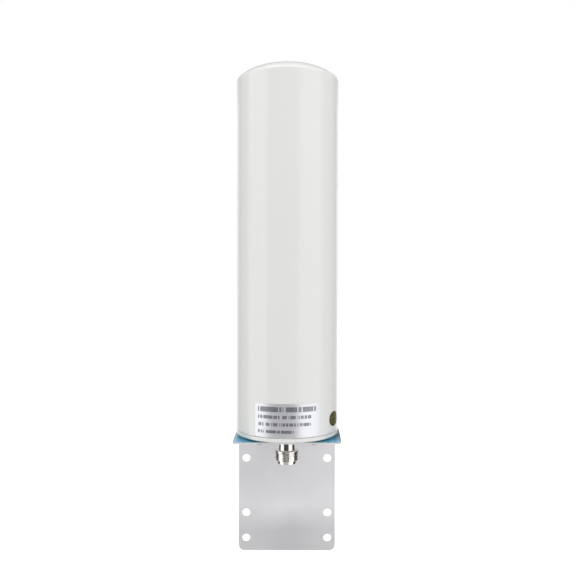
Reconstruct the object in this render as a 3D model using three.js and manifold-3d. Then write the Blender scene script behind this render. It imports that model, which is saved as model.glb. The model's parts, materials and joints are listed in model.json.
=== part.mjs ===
// Omnidirectional cellular antenna: a white plastic tube that stands on the flange of a folded
// aluminium L-bracket, with an N-type jack below the flange and a printed dipole board inside.
//
// Millimetres, +Z up along the tube. The origin is the middle of the bracket's mounting face, which
// faces +Y towards the mast. Inside the group, places are measured from the point where the tube's
// axis meets the top of the flange.

import * as THREE from 'three';
import { mergeVertices } from 'three/addons/utils/BufferGeometryUtils.js';
import Module from 'manifold-3d';

// ---- Driving dimensions ---------------------------------------------------------------------

// Tube
const tubeRadius = 34;
const tubeHeight = 243.2;
const tubeWall = 2.2;
const domeFlatRadius = 13.7;
const domeEdgeSlope = THREE.MathUtils.degToRad(40.5);
const domeEdgeRadius = 2.5;
const tubeSegments = 48;

// Bracket, from the tube's axis and the flange's top face
const sheet = 1.2;
const bracketWidth = 69;
const flangeFront = -26;
const plateFront = 28.8;
const plateBottom = -89.7;
const plateCornerRadius = 4;
const bendInnerRadius = 1.5;
const boltRowHeights = [-23.7, -62.7, -80.7];
const boltHoleSpacing = 58;
const boltHoleRadius = 2.75;
const mastFaceMiddle = (boltRowHeights[0] + boltRowHeights[2]) / 2;

// Base cap
const filmThickness = 0.125;
const filmOverhang = 0.2;
const filmBack = 22;
const rimBottom = 1.3;
const rimHeight = 2.7;
const rimChamfer = 0.8;
const seamGap = 0.25;
const capFloor = 3.5;
const capFootRadius = 27.8;
const spigotRadius = 31.7;
const spigotWall = 2.5;
const spigotTop = 14.5;
const grooveRadius = 30;
const grooveBottom = 6.5;
const grooveTop = 8.3;
const oRingRadius = 30.9;
const oRingSection = 0.8;
const bossRadius = 3.5;
const bossTop = 9.5;
const rimTop = rimBottom + rimHeight;
const shellBottom = rimTop + seamGap;
const shellTop = rimBottom + tubeHeight;

// N-type jack: 5/8 inch, 24 threads to the inch
const threadRadius = 7.94;
const threadPitch = 1.058;
const threadDepth = 0.65;
const threadTurns = 5;
const shankRadius = 6.2;
const shankHoleRadius = 6.6;
const neckRadius = 5.5;
const noseRadius = 6.35;
const socketRadius = 4.02;
const dielectricRadius = 2.95;
const gasketThickness = 0.8;
const hexThickness = 2.6;
const hexAcrossFlats = 19;
const jackTop = 9;
const neckBottom = -10.6;
const threadBottom = -17.4;
const jackBottom = -19.6;
const gasketRadius = 9.2;
const contactTip = jackBottom + 5.2;
const contactBoreBottom = neckBottom - 0.8;
const jackSegments = 28;

// Nut and lock washer inside the cap
const lockWasherThickness = 0.8;
const lockWasherRadius = 9;
const nutThickness = 3;
const nutAcrossFlats = 17;

// Small screws, all M3 with pan heads
const screwRadius = 1.5;
const screwHoleRadius = 1.8;
const screwHeadRadius = 2.8;
const screwHeadHeight = 1.9;
const bracketScrewOffset = 17.7;
const bracketScrewLength = 8;
const shortScrewLength = 5.4;

// Circuit board and what it carries
const boardWidth = 46;
const boardThickness = 1.6;
const boardFront = 2.3;
const boardBottom = 14;
const boardTop = 218;
const boardBack = boardFront + boardThickness;
const copperThickness = 0.25;
const feedHeight = 115;
const lowBandFeedGap = 3;
const lowBandTaper = 20;
const lowBandBlock = 60;
const lowBandTipHalf = 4;
const lowBandHalf = 20;
const highBandWidth = 14;
const highBandLength = 22;
const highBandBottoms = [36, 62, 146, 172];
const cableRadius = 1.8;
const cableTop = 111;
const coreRadius = 0.45;
const strapHalfWidth = 4.8;
const strapHeight = 5;
const strapBottoms = [45, 98];
const solderRadius = 1.6;
const solderBottom = 120;
const solderTop = 123;
const seatGap = 0.05;

// Board angles
const angleSheet = 1;
const angleWidth = 10;
const angleDepth = 9.6;
const angleTop = 28;
const angleOffset = 20;
const anglePadTop = 7.5;
const anglePadRadius = 4.2;
const angleScrewDepth = 9.4;
const boardScrewHeight = 22;

// Foam discs
const foamRadius = 31.4;
const foamThickness = 10;
const foamSlotFront = -2.6;
const foamSlotGap = 0.6;
const foamBottoms = { foam_disc_middle: 70, foam_disc_top: 204 };

// Name label and oval sticker
const stickerGap = 0.05;
const stickerThickness = 0.15;
const labelHalfAngle = THREE.MathUtils.degToRad(36);
const labelBottom = rimBottom + 3.4;
const labelHeight = 21;
const ovalStickerHalfWidth = 5.9;
const ovalStickerHalfHeight = 4.7;
const ovalStickerAngle = THREE.MathUtils.degToRad(63);
const ovalStickerMiddle = rimBottom + 12.1;

// ---- Materials ------------------------------------------------------------------------------

const finishes = {
  whitePlastic: { color: 0xe4e5e2, roughness: 0.35, metalness: 0 },
  aluminium: { color: 0xd0d0d3, roughness: 0.45, metalness: 0.9 },
  blueFilm: { color: 0x69a3bf, roughness: 0.2, metalness: 0 },
  silverFoil: { color: 0xdcdee4, roughness: 0.25, metalness: 0.8 },
  goldFoil: { color: 0x8a8458, roughness: 0.3, metalness: 0.8 },
  nickel: { color: 0xc9c7c4, roughness: 0.12, metalness: 1 },
  steel: { color: 0xb8b8ba, roughness: 0.3, metalness: 1 },
  gold: { color: 0xd8b25a, roughness: 0.2, metalness: 1 },
  ptfe: { color: 0xf2f2ee, roughness: 0.5, metalness: 0 },
  rubber: { color: 0x1c1c1e, roughness: 0.8, metalness: 0 },
  circuitBoard: { color: 0x2f6b3c, roughness: 0.5, metalness: 0 },
  copper: { color: 0xc77f4f, roughness: 0.35, metalness: 1 },
  cableJacket: { color: 0xb9b4a8, roughness: 0.4, metalness: 0.8 },
  solder: { color: 0xaeb0b3, roughness: 0.35, metalness: 1 },
  foam: { color: 0xf4f4f2, roughness: 0.9, metalness: 0 },
};

// ---- Making solids --------------------------------------------------------------------------

const wasm = await Module();
wasm.setup();

const antenna = new THREE.Group();
antenna.position.set(0, -plateFront - sheet, -mastFaceMiddle);

function add(name, geometry, finish, x = 0, y = 0, z = 0) {
  const mesh = new THREE.Mesh(geometry, new THREE.MeshStandardMaterial(finish));
  mesh.name = name;
  mesh.position.set(x, y, z);
  antenna.add(mesh);
  return mesh;
}

function toSolid(geometry) {
  const bare = geometry.clone();
  bare.deleteAttribute('normal');
  bare.deleteAttribute('uv');
  const welded = mergeVertices(bare, 1e-4);
  const corners = welded.index.array;
  const triVerts = [];
  for (let i = 0; i < corners.length; i += 3) {
    const [a, b, c] = corners.slice(i, i + 3);
    if (a !== b && b !== c && c !== a) triVerts.push(a, b, c);
  }
  const vertProperties = welded.attributes.position.array;
  return new wasm.Manifold(new wasm.Mesh({
    numProp: 3, vertProperties, triVerts: new Uint32Array(triVerts),
  }));
}

function toGeometry(solid) {
  const mesh = solid.getMesh();
  const geometry = new THREE.BufferGeometry();
  geometry.setAttribute('position', new THREE.BufferAttribute(mesh.vertProperties, 3));
  geometry.setIndex(new THREE.BufferAttribute(mesh.triVerts, 1));
  geometry.computeVertexNormals();
  return geometry;
}

function join(geometry, others) {
  return toGeometry(others.reduce((solid, other) => solid.add(toSolid(other)), toSolid(geometry)));
}

function cut(geometry, cutters) {
  return toGeometry(cutters.reduce((solid, cutter) => solid.subtract(toSolid(cutter)), toSolid(geometry)));
}

// A body of revolution about Z. The profile lists [radius, z] with the material on its left.
function turned(profile, segments = jackSegments) {
  const points = profile.map(([radius, z]) => new THREE.Vector2(radius, z));
  return new THREE.LatheGeometry(points, segments).rotateX(Math.PI / 2);
}

// A ring of rectangular section about Z
function ring(innerRadius, outerRadius, bottom, top, segments = jackSegments) {
  return turned([
    [innerRadius, bottom],
    [outerRadius, bottom],
    [outerRadius, top],
    [innerRadius, top],
    [innerRadius, bottom],
  ], segments);
}

// A cylinder from one z to another at x, y
function post(radius, bottom, top, x = 0, y = 0, segments = 24) {
  const geometry = new THREE.CylinderGeometry(radius, radius, top - bottom, segments);
  return geometry.rotateX(Math.PI / 2).translate(x, y, (bottom + top) / 2);
}

// A cylinder from one y to another at x, z
function crossPost(radius, front, back, x, z, segments = 24) {
  const geometry = new THREE.CylinderGeometry(radius, radius, back - front, segments);
  return geometry.translate(x, (front + back) / 2, z);
}

function box(x0, x1, y0, y1, z0, z1) {
  const geometry = new THREE.BoxGeometry(x1 - x0, y1 - y0, z1 - z0);
  return geometry.translate((x0 + x1) / 2, (y0 + y1) / 2, (z0 + z1) / 2);
}

function extruded(shape, depth, curveSegments) {
  return new THREE.ExtrudeGeometry(shape, { depth, bevelEnabled: false, curveSegments });
}

// A shape drawn in X and Y, raised along Z
function alongZ(shape, bottom, top, curveSegments = 12) {
  return extruded(shape, top - bottom, curveSegments).translate(0, 0, bottom);
}

// A shape drawn in X and Z, pushed along Y
function alongY(shape, front, back, curveSegments = 12) {
  return extruded(shape, back - front, curveSegments).rotateX(Math.PI / 2).translate(0, back, 0);
}

// A shape drawn in Y and Z, pushed along X
function alongX(shape, left, right, curveSegments = 12) {
  const turn = new THREE.Matrix4().makeBasis(
    new THREE.Vector3(0, 1, 0),
    new THREE.Vector3(0, 0, 1),
    new THREE.Vector3(1, 0, 0),
  );
  return extruded(shape, right - left, curveSegments).applyMatrix4(turn).translate(left, 0, 0);
}

function polygon(corners) {
  return new THREE.Shape(corners.map(([x, y]) => new THREE.Vector2(x, y)));
}

function hexagon(acrossFlats) {
  const corners = [];
  for (let i = 0; i < 6; i += 1) {
    const angle = (i * Math.PI) / 3;
    const reach = acrossFlats / 2 / Math.cos(Math.PI / 6);
    corners.push([reach * Math.cos(angle), reach * Math.sin(angle)]);
  }
  return polygon(corners);
}

function withHole(shape, radius, x = 0, y = 0) {
  shape.holes.push(new THREE.Path().absarc(x, y, radius, 0, Math.PI * 2, true));
  return shape;
}

// Points of an arc in a turned profile, from one angle to another above the horizontal
function arcPoints(centreRadius, centreZ, radius, from, to, steps) {
  const points = [];
  for (let i = 0; i <= steps; i += 1) {
    const angle = from + ((to - from) * i) / steps;
    points.push([centreRadius + radius * Math.cos(angle), centreZ + radius * Math.sin(angle)]);
  }
  return points;
}

// ---- Tube -----------------------------------------------------------------------------------

// The wall meets the low dome in a small edge radius, and the dome ends in a flat middle.
function radomeShell() {
  const normalAtEdge = Math.PI / 2 - domeEdgeSlope;
  const edgeCentre = tubeRadius - domeEdgeRadius;
  const domeStart = edgeCentre + domeEdgeRadius * Math.cos(normalAtEdge);
  const domeRadius = (domeStart - domeFlatRadius) / Math.sin(domeEdgeSlope);
  const domeCentre = shellTop - domeRadius;
  const domeStartZ = domeCentre + domeRadius * Math.cos(domeEdgeSlope);
  const shoulder = domeStartZ - domeEdgeRadius * Math.sin(normalAtEdge);
  const innerRadius = tubeRadius - tubeWall;
  const innerDome = domeRadius - tubeWall;
  const innerEdge = Math.acos((innerRadius - domeFlatRadius) / innerDome);
  return turned([
    [0, shellTop - tubeWall],
    ...arcPoints(domeFlatRadius, domeCentre, innerDome, Math.PI / 2, innerEdge, 4),
    [innerRadius, shellBottom],
    [tubeRadius - 0.2, shellBottom],
    [tubeRadius, shellBottom + 0.2],
    ...arcPoints(edgeCentre, shoulder, domeEdgeRadius, 0, normalAtEdge, 3),
    ...arcPoints(domeFlatRadius, domeCentre, domeRadius, normalAtEdge, Math.PI / 2, 7).slice(1),
    [0, shellTop],
  ], tubeSegments);
}

// Where the four screws that hold the tube on the bracket stand
function bracketScrewPlaces() {
  const places = [];
  for (const y of [-bracketScrewOffset, bracketScrewOffset]) {
    for (const x of [-bracketScrewOffset, bracketScrewOffset]) places.push([x, y]);
  }
  return places;
}

const angleSides = [-angleOffset, angleOffset];

// The cap's foot stands on the flange, its rim closes the tube and its spigot fits inside it.
function baseCap() {
  const spigotInner = spigotRadius - spigotWall;
  const turnedCap = turned([
    [shankHoleRadius, filmThickness],
    [capFootRadius, filmThickness],
    [capFootRadius, rimBottom],
    [tubeRadius - rimChamfer, rimBottom],
    [tubeRadius, rimBottom + rimChamfer],
    [tubeRadius, rimTop - 0.3],
    [tubeRadius - 0.3, rimTop],
    [spigotRadius, rimTop],
    [spigotRadius, grooveBottom],
    [grooveRadius, grooveBottom],
    [grooveRadius, grooveTop],
    [spigotRadius, grooveTop],
    [spigotRadius, spigotTop - 0.5],
    [spigotRadius - 0.5, spigotTop],
    [spigotInner, spigotTop],
    [spigotInner, capFloor],
    [shankHoleRadius, capFloor],
    [shankHoleRadius, filmThickness],
  ], tubeSegments);
  const root = capFloor - 1;
  const bossHoleTop = bossTop - 1.1;
  const padHoleBottom = anglePadTop - 5.5;
  const bosses = bracketScrewPlaces().map(([x, y]) => post(bossRadius, root, bossTop, x, y));
  const pads = angleSides.map((x) => post(anglePadRadius, root, anglePadTop, x, angleScrewDepth));
  const bossHoles = bracketScrewPlaces().map(([x, y]) => post(screwHoleRadius, -1, bossHoleTop, x, y, 12));
  const padHoles = angleSides.map((x) => post(screwHoleRadius, padHoleBottom, 9, x, angleScrewDepth, 12));
  return cut(join(turnedCap, [...bosses, ...pads]), [...bossHoles, ...padHoles]);
}

add('radome_shell', radomeShell(), finishes.whitePlastic);
add('base_cap', baseCap(), finishes.whitePlastic);
const oRing = new THREE.TorusGeometry(oRingRadius, oRingSection, 6, tubeSegments);
add('cap_o_ring', oRing, finishes.rubber, 0, 0, (grooveBottom + grooveTop) / 2);

// ---- Label and sticker ----------------------------------------------------------------------

// A thin sheet wrapped on the tube, centred on an angle from the front
function wrappedSheet(centreAngle, halfAngle, bottom, top) {
  const inner = tubeRadius + stickerGap;
  const outer = inner + stickerThickness;
  const from = centreAngle - Math.PI / 2 - halfAngle;
  const to = centreAngle - Math.PI / 2 + halfAngle;
  const shape = new THREE.Shape();
  shape.absarc(0, 0, outer, from, to, false);
  shape.absarc(0, 0, inner, to, from, true);
  return alongZ(shape, bottom, top, 20);
}

function ovalSticker() {
  const reach = ovalStickerHalfWidth + 1;
  const blank = wrappedSheet(0, reach / tubeRadius, ovalStickerMiddle - reach, ovalStickerMiddle + reach);
  const punch = crossPost(1, -tubeRadius - 5, -tubeRadius + 5, 0, 0);
  punch.scale(ovalStickerHalfWidth, 1, ovalStickerHalfHeight).translate(0, 0, ovalStickerMiddle);
  const oval = toSolid(blank).intersect(toSolid(punch));
  return toGeometry(oval).rotateZ(ovalStickerAngle);
}

const label = wrappedSheet(0, labelHalfAngle, labelBottom, labelBottom + labelHeight);
add('name_label', label, finishes.silverFoil);
add('inspection_sticker', ovalSticker(), finishes.goldFoil);

// ---- Bracket --------------------------------------------------------------------------------

function bracketSection() {
  const plateBack = plateFront + sheet;
  const bendY = plateFront - bendInnerRadius;
  const bendZ = -sheet - bendInnerRadius;
  const shape = new THREE.Shape();
  shape.moveTo(flangeFront, -sheet);
  shape.lineTo(bendY, -sheet);
  shape.absarc(bendY, bendZ, bendInnerRadius, Math.PI / 2, 0, true);
  shape.lineTo(plateFront, plateBottom);
  shape.lineTo(plateBack, plateBottom);
  shape.lineTo(plateBack, bendZ);
  shape.absarc(bendY, bendZ, bendInnerRadius + sheet, 0, Math.PI / 2, false);
  shape.lineTo(flangeFront, 0);
  return shape;
}

// The bracket's outline from the front, with its two lower corners rounded
function bracketFrontOutline() {
  const half = bracketWidth / 2;
  const corner = plateCornerRadius;
  const shape = new THREE.Shape();
  shape.moveTo(half, 10);
  shape.lineTo(-half, 10);
  shape.absarc(-half + corner, plateBottom + corner, corner, Math.PI, Math.PI * 1.5, false);
  shape.absarc(half - corner, plateBottom + corner, corner, -Math.PI / 2, 0, false);
  return shape;
}

function mountingBracket() {
  const half = bracketWidth / 2;
  const folded = toSolid(alongX(bracketSection(), -half, half, 6));
  const outline = toSolid(alongY(bracketFrontOutline(), -60, 60, 6));
  const blank = toGeometry(folded.intersect(outline));
  const cutters = [post(shankHoleRadius, -10, 10)];
  for (const [x, y] of bracketScrewPlaces()) cutters.push(post(screwHoleRadius, -10, 10, x, y, 12));
  for (const z of boltRowHeights) {
    for (const x of [-boltHoleSpacing / 2, boltHoleSpacing / 2]) {
      cutters.push(crossPost(boltHoleRadius, plateFront - 5, plateFront + 10, x, z));
    }
  }
  return cut(blank, cutters);
}

function protectiveFilm() {
  const half = bracketWidth / 2 + filmOverhang;
  const front = flangeFront - filmOverhang;
  const outline = polygon([[-half, front], [half, front], [half, filmBack], [-half, filmBack]]);
  withHole(outline, shankHoleRadius + 0.4);
  for (const [x, y] of bracketScrewPlaces()) withHole(outline, screwHoleRadius + 0.4, x, y);
  return alongZ(outline, 0, filmThickness, 8);
}

// A pan-head screw along +Z with its head's seat at z = 0
function panScrew(length) {
  return turned([
    [0, -screwHeadHeight + 1],
    [0.9, -screwHeadHeight + 0.2],
    [1.6, -screwHeadHeight],
    [2.4, -screwHeadHeight + 0.4],
    [screwHeadRadius, -0.9],
    [screwHeadRadius, 0],
    [screwRadius, 0],
    [screwRadius, length - 0.6],
    [screwRadius - 0.6, length],
    [0, length],
  ], 12);
}

add('mounting_bracket', mountingBracket(), finishes.aluminium);
add('protective_film', protectiveFilm(), finishes.blueFilm);
bracketScrewPlaces().forEach(([x, y], i) => {
  add(`bracket_screw_${i + 1}`, panScrew(bracketScrewLength), finishes.steel, x, y, -sheet);
});

// ---- N-type jack ----------------------------------------------------------------------------

function threadProfile() {
  const points = [];
  for (let i = 0; i < threadTurns; i += 1) {
    const z = threadBottom + 0.9 + i * threadPitch;
    points.push([threadRadius, z], [threadRadius - threadDepth, z + threadPitch / 2]);
  }
  const last = threadBottom + 0.9 + threadTurns * threadPitch;
  points.push([threadRadius, last]);
  return points;
}

function connectorBody() {
  const hexTop = -sheet - gasketThickness;
  const hexBottom = hexTop - hexThickness;
  const boreRadius = dielectricRadius + 0.1;
  const turnedBody = turned([
    [socketRadius + 0.4, jackBottom],
    [noseRadius - 0.35, jackBottom],
    [noseRadius, jackBottom + 0.35],
    [noseRadius, threadBottom],
    [threadRadius - 1.1, threadBottom],
    ...threadProfile(),
    [threadRadius - 0.7, neckBottom],
    [neckRadius, neckBottom],
    [neckRadius, hexBottom],
    [shankRadius + 1, hexBottom + 0.1],
    [shankRadius + 1, hexTop],
    [shankRadius, hexTop],
    [shankRadius, jackTop - 0.5],
    [shankRadius - 0.5, jackTop],
    [boreRadius, jackTop],
    [boreRadius, neckBottom],
    [socketRadius, neckBottom],
    [socketRadius, jackBottom + 0.4],
    [socketRadius + 0.4, jackBottom],
  ]);
  const hex = alongZ(withHole(hexagon(hexAcrossFlats), shankRadius - 1), hexBottom, hexTop);
  return join(turnedBody, [hex]);
}

function connectorInsulator() {
  return ring(1.3, dielectricRadius, neckBottom, jackTop + 1, 24);
}

// The female contact: a slotted socket in front and a solder pin behind
function connectorContact() {
  const blank = turned([
    [0, contactBoreBottom],
    [0.82, contactBoreBottom],
    [0.82, contactTip],
    [1.52, contactTip],
    [1.52, neckBottom - seatGap],
    [1.2, neckBottom - seatGap],
    [1.2, jackTop + 3],
    [0, jackTop + 3],
  ], 24);
  const slotTop = contactTip + 2.4;
  return cut(blank, [
    box(-0.17, 0.17, -3, 3, contactTip - 1, slotTop),
    box(-3, 3, -0.17, 0.17, contactTip - 1, slotTop),
  ]);
}

// A washer with a narrow split, so that it springs
function lockWasher() {
  const splitAngle = 0.08;
  const shape = new THREE.Shape();
  shape.absarc(0, 0, lockWasherRadius, splitAngle, Math.PI * 2 - splitAngle, false);
  shape.absarc(0, 0, shankRadius + 0.3, Math.PI * 2 - splitAngle, splitAngle, true);
  return alongZ(shape, capFloor, capFloor + lockWasherThickness, 14);
}

function hexNut(acrossFlats, holeRadius, thickness) {
  return alongZ(withHole(hexagon(acrossFlats), holeRadius), 0, thickness, 8);
}

add('connector_body', connectorBody(), finishes.nickel);
add('connector_insulator', connectorInsulator(), finishes.ptfe);
add('connector_contact', connectorContact(), finishes.gold);
const gasket = ring(shankRadius + 0.3, gasketRadius, -sheet - gasketThickness, -sheet);
add('connector_gasket', gasket, finishes.rubber);
add('connector_lock_washer', lockWasher(), finishes.steel);
const nut = hexNut(nutAcrossFlats, shankRadius + 0.2, nutThickness);
add('connector_nut', nut, finishes.steel, 0, 0, capFloor + lockWasherThickness);

// ---- Circuit board --------------------------------------------------------------------------

function feedBoard() {
  const half = boardWidth / 2;
  const shape = polygon([[-half, boardBottom], [half, boardBottom], [half, boardTop], [-half, boardTop]]);
  for (const x of angleSides) withHole(shape, screwHoleRadius, x, boardScrewHeight);
  return alongY(shape, boardFront, boardBack);
}

// One bow-tie half of the low-band dipole. It points away from the feed with direction 1 or -1.
function lowBandArm(direction) {
  const near = feedHeight + direction * lowBandFeedGap;
  const wide = near + direction * lowBandTaper;
  const far = wide + direction * lowBandBlock;
  const tip = lowBandTipHalf;
  const half = lowBandHalf;
  const corners = [[tip, near], [half, wide], [half, far], [-half, far], [-half, wide], [-tip, near]];
  return alongY(polygon(corners), boardFront - copperThickness, boardFront);
}

function highBandArm(bottom) {
  const half = highBandWidth / 2;
  const top = bottom + highBandLength;
  const shape = polygon([[-half, bottom], [half, bottom], [half, top], [-half, top]]);
  return alongY(shape, boardBack, boardBack + copperThickness);
}

// A folded copper strap that holds the cable's outer conductor to the board
function cableStrap(bottom) {
  const inner = cableRadius + 0.15;
  const outer = inner + 0.4;
  const footFront = boardFront - copperThickness - seatGap - 0.4;
  const footBack = footFront + 0.4;
  const shape = new THREE.Shape();
  shape.moveTo(-strapHalfWidth, footFront);
  shape.lineTo(-outer, footFront);
  shape.absarc(0, 0, outer, Math.PI, Math.PI * 2, false);
  shape.lineTo(outer, footFront);
  shape.lineTo(strapHalfWidth, footFront);
  shape.lineTo(strapHalfWidth, footBack);
  shape.lineTo(inner, footBack);
  shape.absarc(0, 0, inner, Math.PI * 2, Math.PI, true);
  shape.lineTo(-inner, footBack);
  shape.lineTo(-strapHalfWidth, footBack);
  return alongZ(shape, bottom, bottom + strapHeight, 8);
}

// The inner conductor runs up inside the cable and lies over on the upper arm.
function cableCore() {
  const path = new THREE.CatmullRomCurve3([
    new THREE.Vector3(0, 0, jackTop + 3.15),
    new THREE.Vector3(0, 0, 60),
    new THREE.Vector3(0, 0, cableTop),
    new THREE.Vector3(0, 0.15, 113.5),
    new THREE.Vector3(0, 1.2, 117),
    new THREE.Vector3(0, 1.5, 119.5),
    new THREE.Vector3(0, 1.5, 124),
  ], false, 'centripetal');
  const section = new THREE.Shape().absarc(0, 0, coreRadius, 0, Math.PI * 2, false);
  return new THREE.ExtrudeGeometry(section, {
    steps: 24, curveSegments: 4, bevelEnabled: false, extrudePath: path,
  });
}

function solderJoint() {
  const back = boardFront - copperThickness - seatGap;
  const shape = new THREE.Shape();
  shape.moveTo(-solderRadius, back);
  shape.absarc(0, back, solderRadius, Math.PI, Math.PI * 2, false);
  shape.lineTo(coreRadius + 0.15, back);
  shape.absarc(0, 1.5, coreRadius + 0.15, Math.PI * 2, Math.PI, true);
  shape.lineTo(-coreRadius - 0.15, back);
  return alongZ(shape, solderBottom, solderTop, 8);
}

function foamDisc(bottom) {
  const shape = new THREE.Shape().absarc(0, 0, foamRadius, 0, Math.PI * 2, false);
  const half = boardWidth / 2 + 0.4;
  const slot = new THREE.Path();
  slot.moveTo(-half, foamSlotFront);
  slot.lineTo(-half, boardBack + foamSlotGap);
  slot.lineTo(half, boardBack + foamSlotGap);
  slot.lineTo(half, foamSlotFront);
  slot.closePath();
  shape.holes.push(slot);
  return alongZ(shape, bottom, bottom + foamThickness, 24);
}

add('feed_board', feedBoard(), finishes.circuitBoard);
add('low_band_arm_upper', lowBandArm(1), finishes.copper);
add('low_band_arm_lower', lowBandArm(-1), finishes.copper);
highBandBottoms.forEach((bottom, i) => {
  add(`high_band_arm_${i + 1}`, highBandArm(bottom), finishes.copper);
});
add('feed_cable', ring(coreRadius + 0.15, cableRadius, jackTop + 5.5, cableTop, 16), finishes.cableJacket);
add('feed_cable_core', cableCore(), finishes.copper);
add('solder_joint', solderJoint(), finishes.solder);
strapBottoms.forEach((bottom, i) => add(`cable_strap_${i + 1}`, cableStrap(bottom), finishes.copper));
for (const [name, bottom] of Object.entries(foamBottoms)) add(name, foamDisc(bottom), finishes.foam);

// ---- Board angles ---------------------------------------------------------------------------

// A small L that stands on a pad of the cap, behind the board
function boardAngle(x) {
  const front = boardBack + seatGap;
  const section = polygon([
    [front, anglePadTop],
    [front + angleDepth, anglePadTop],
    [front + angleDepth, anglePadTop + angleSheet],
    [front + angleSheet, anglePadTop + angleSheet],
    [front + angleSheet, angleTop],
    [front, angleTop],
  ]);
  const blank = alongX(section, x - angleWidth / 2, x + angleWidth / 2);
  return cut(blank, [
    post(screwHoleRadius, 0, 12, x, angleScrewDepth, 12),
    crossPost(screwHoleRadius, 0, 8, x, boardScrewHeight, 12),
  ]);
}

angleSides.forEach((x, i) => {
  const side = i + 1;
  add(`board_angle_${side}`, boardAngle(x), finishes.steel);
  const downScrew = add(
    `angle_screw_${side}`, panScrew(shortScrewLength), finishes.steel,
    x, angleScrewDepth, anglePadTop + angleSheet + seatGap,
  );
  downScrew.rotation.x = Math.PI;
  const boardScrew = add(
    `board_screw_${side}`, panScrew(shortScrewLength), finishes.steel,
    x, boardFront - seatGap, boardScrewHeight,
  );
  boardScrew.rotation.x = -Math.PI / 2;
  const boardNut = add(
    `board_nut_${side}`, hexNut(5.5, screwRadius + 0.1, 2), finishes.steel,
    x, boardBack + angleSheet + 2 * seatGap, boardScrewHeight,
  );
  boardNut.rotation.x = -Math.PI / 2;
});

export default antenna;
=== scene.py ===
"""Looks of the omnidirectional antenna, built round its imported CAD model.

Metres, in the CAD frame: +Z up along the tube, +Y out of the bracket's back face, origin in the
middle of that face. The CAD model gives every place and size. The pieces that show get finer meshes
here, and every node gets a procedural material.
"""

import json
import math

import bmesh
import bpy
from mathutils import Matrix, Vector


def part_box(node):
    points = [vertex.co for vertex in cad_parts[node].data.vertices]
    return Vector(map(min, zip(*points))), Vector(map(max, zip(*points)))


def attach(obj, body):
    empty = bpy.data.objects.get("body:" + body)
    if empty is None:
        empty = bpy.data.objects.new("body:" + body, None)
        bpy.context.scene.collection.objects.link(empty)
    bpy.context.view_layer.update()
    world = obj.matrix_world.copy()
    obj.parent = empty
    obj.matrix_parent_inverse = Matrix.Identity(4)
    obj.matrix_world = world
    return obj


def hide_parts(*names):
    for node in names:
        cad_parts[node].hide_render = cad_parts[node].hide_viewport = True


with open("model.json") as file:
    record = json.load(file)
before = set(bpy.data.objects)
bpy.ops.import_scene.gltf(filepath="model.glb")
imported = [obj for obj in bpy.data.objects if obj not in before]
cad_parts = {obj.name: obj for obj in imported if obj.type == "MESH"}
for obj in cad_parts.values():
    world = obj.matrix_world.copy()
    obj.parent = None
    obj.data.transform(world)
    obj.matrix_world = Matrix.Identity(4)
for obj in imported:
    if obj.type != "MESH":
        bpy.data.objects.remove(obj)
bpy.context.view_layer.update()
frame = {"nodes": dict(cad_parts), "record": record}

MM = 0.001
BODY = "root"


# ---- Places and sizes, from the CAD nodes ---------------------------------------------------

SHELL_LOW, SHELL_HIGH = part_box("radome_shell")
CAP_LOW, CAP_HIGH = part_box("base_cap")
BRACKET_LOW, BRACKET_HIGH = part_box("mounting_bracket")
FILM_LOW, FILM_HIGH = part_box("protective_film")
JACK_LOW, JACK_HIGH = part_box("connector_body")
GASKET_LOW, GASKET_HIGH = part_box("connector_gasket")
LABEL_LOW, LABEL_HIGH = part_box("name_label")
STICKER_LOW, STICKER_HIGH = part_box("inspection_sticker")

TUBE_RADIUS = (SHELL_HIGH.x - SHELL_LOW.x) / 2
AXIS_X = (SHELL_HIGH.x + SHELL_LOW.x) / 2
AXIS_Y = (SHELL_HIGH.y + SHELL_LOW.y) / 2
FLANGE_TOP = FILM_LOW.z
SHEET = FLANGE_TOP - GASKET_HIGH.z
PLATE_BACK = BRACKET_HIGH.y
PLATE_FRONT = PLATE_BACK - SHEET

# Tube
TUBE_WALL = 2.2 * MM
DOME_FLAT_RADIUS = 13.7 * MM
DOME_EDGE_SLOPE = math.radians(40.5)
DOME_EDGE_RADIUS = 2.5 * MM

# Base cap, from the flange's top
RIM_BOTTOM = 1.3 * MM
RIM_TOP = 4 * MM
RIM_LOWER_RADIUS = 1.1 * MM
CAP_FLOOR = 3.5 * MM
CAP_FOOT_RADIUS = 27.8 * MM
SPIGOT_RADIUS = 31.7 * MM
SPIGOT_INNER = 29.2 * MM
GROOVE_RADIUS = 30 * MM
GROOVE_BOTTOM = 6.5 * MM
GROOVE_TOP = 8.3 * MM
BOSS_RADIUS = 3.5 * MM
BOSS_TOP = 9.5 * MM
BOSS_ROOF = 1.1 * MM
PAD_RADIUS = 4.2 * MM
PAD_TOP = 7.5 * MM
PAD_HOLE_BOTTOM = 2 * MM
PAD_OFFSET = (20 * MM, 9.4 * MM)

# Bracket
BEND_INNER_RADIUS = 1.5 * MM
PLATE_CORNER_RADIUS = 4 * MM
BOLT_ROWS = (-23.7 * MM, -62.7 * MM, -80.7 * MM)
BOLT_SPACING = 58 * MM
BOLT_HOLE_RADIUS = 2.75 * MM
SCREW_OFFSET = 17.7 * MM
SCREW_HOLE_RADIUS = 1.8 * MM
EDGE_BREAK = 0.35 * MM
CUT_REACH = 6 * MM

# Painted shade low on the plate, heights from the CAD origin
SHADE_TOP = -4 * MM
SHADE_FULL = -22 * MM
SHADE_BORDER_WAVE = 14 * MM

# Film
FILM_LOOSE_EDGE = 2.4 * MM
FILM_LIFT = 0.42 * MM
FILM_CURL = 3 * MM
FILM_THICKNESS = 0.07 * MM
FILM_GAP = 0.02 * MM
FILM_HOLE_MARGIN = 0.4 * MM
FILM_RIPPLE_LENGTH = 4.3 * MM

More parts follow.
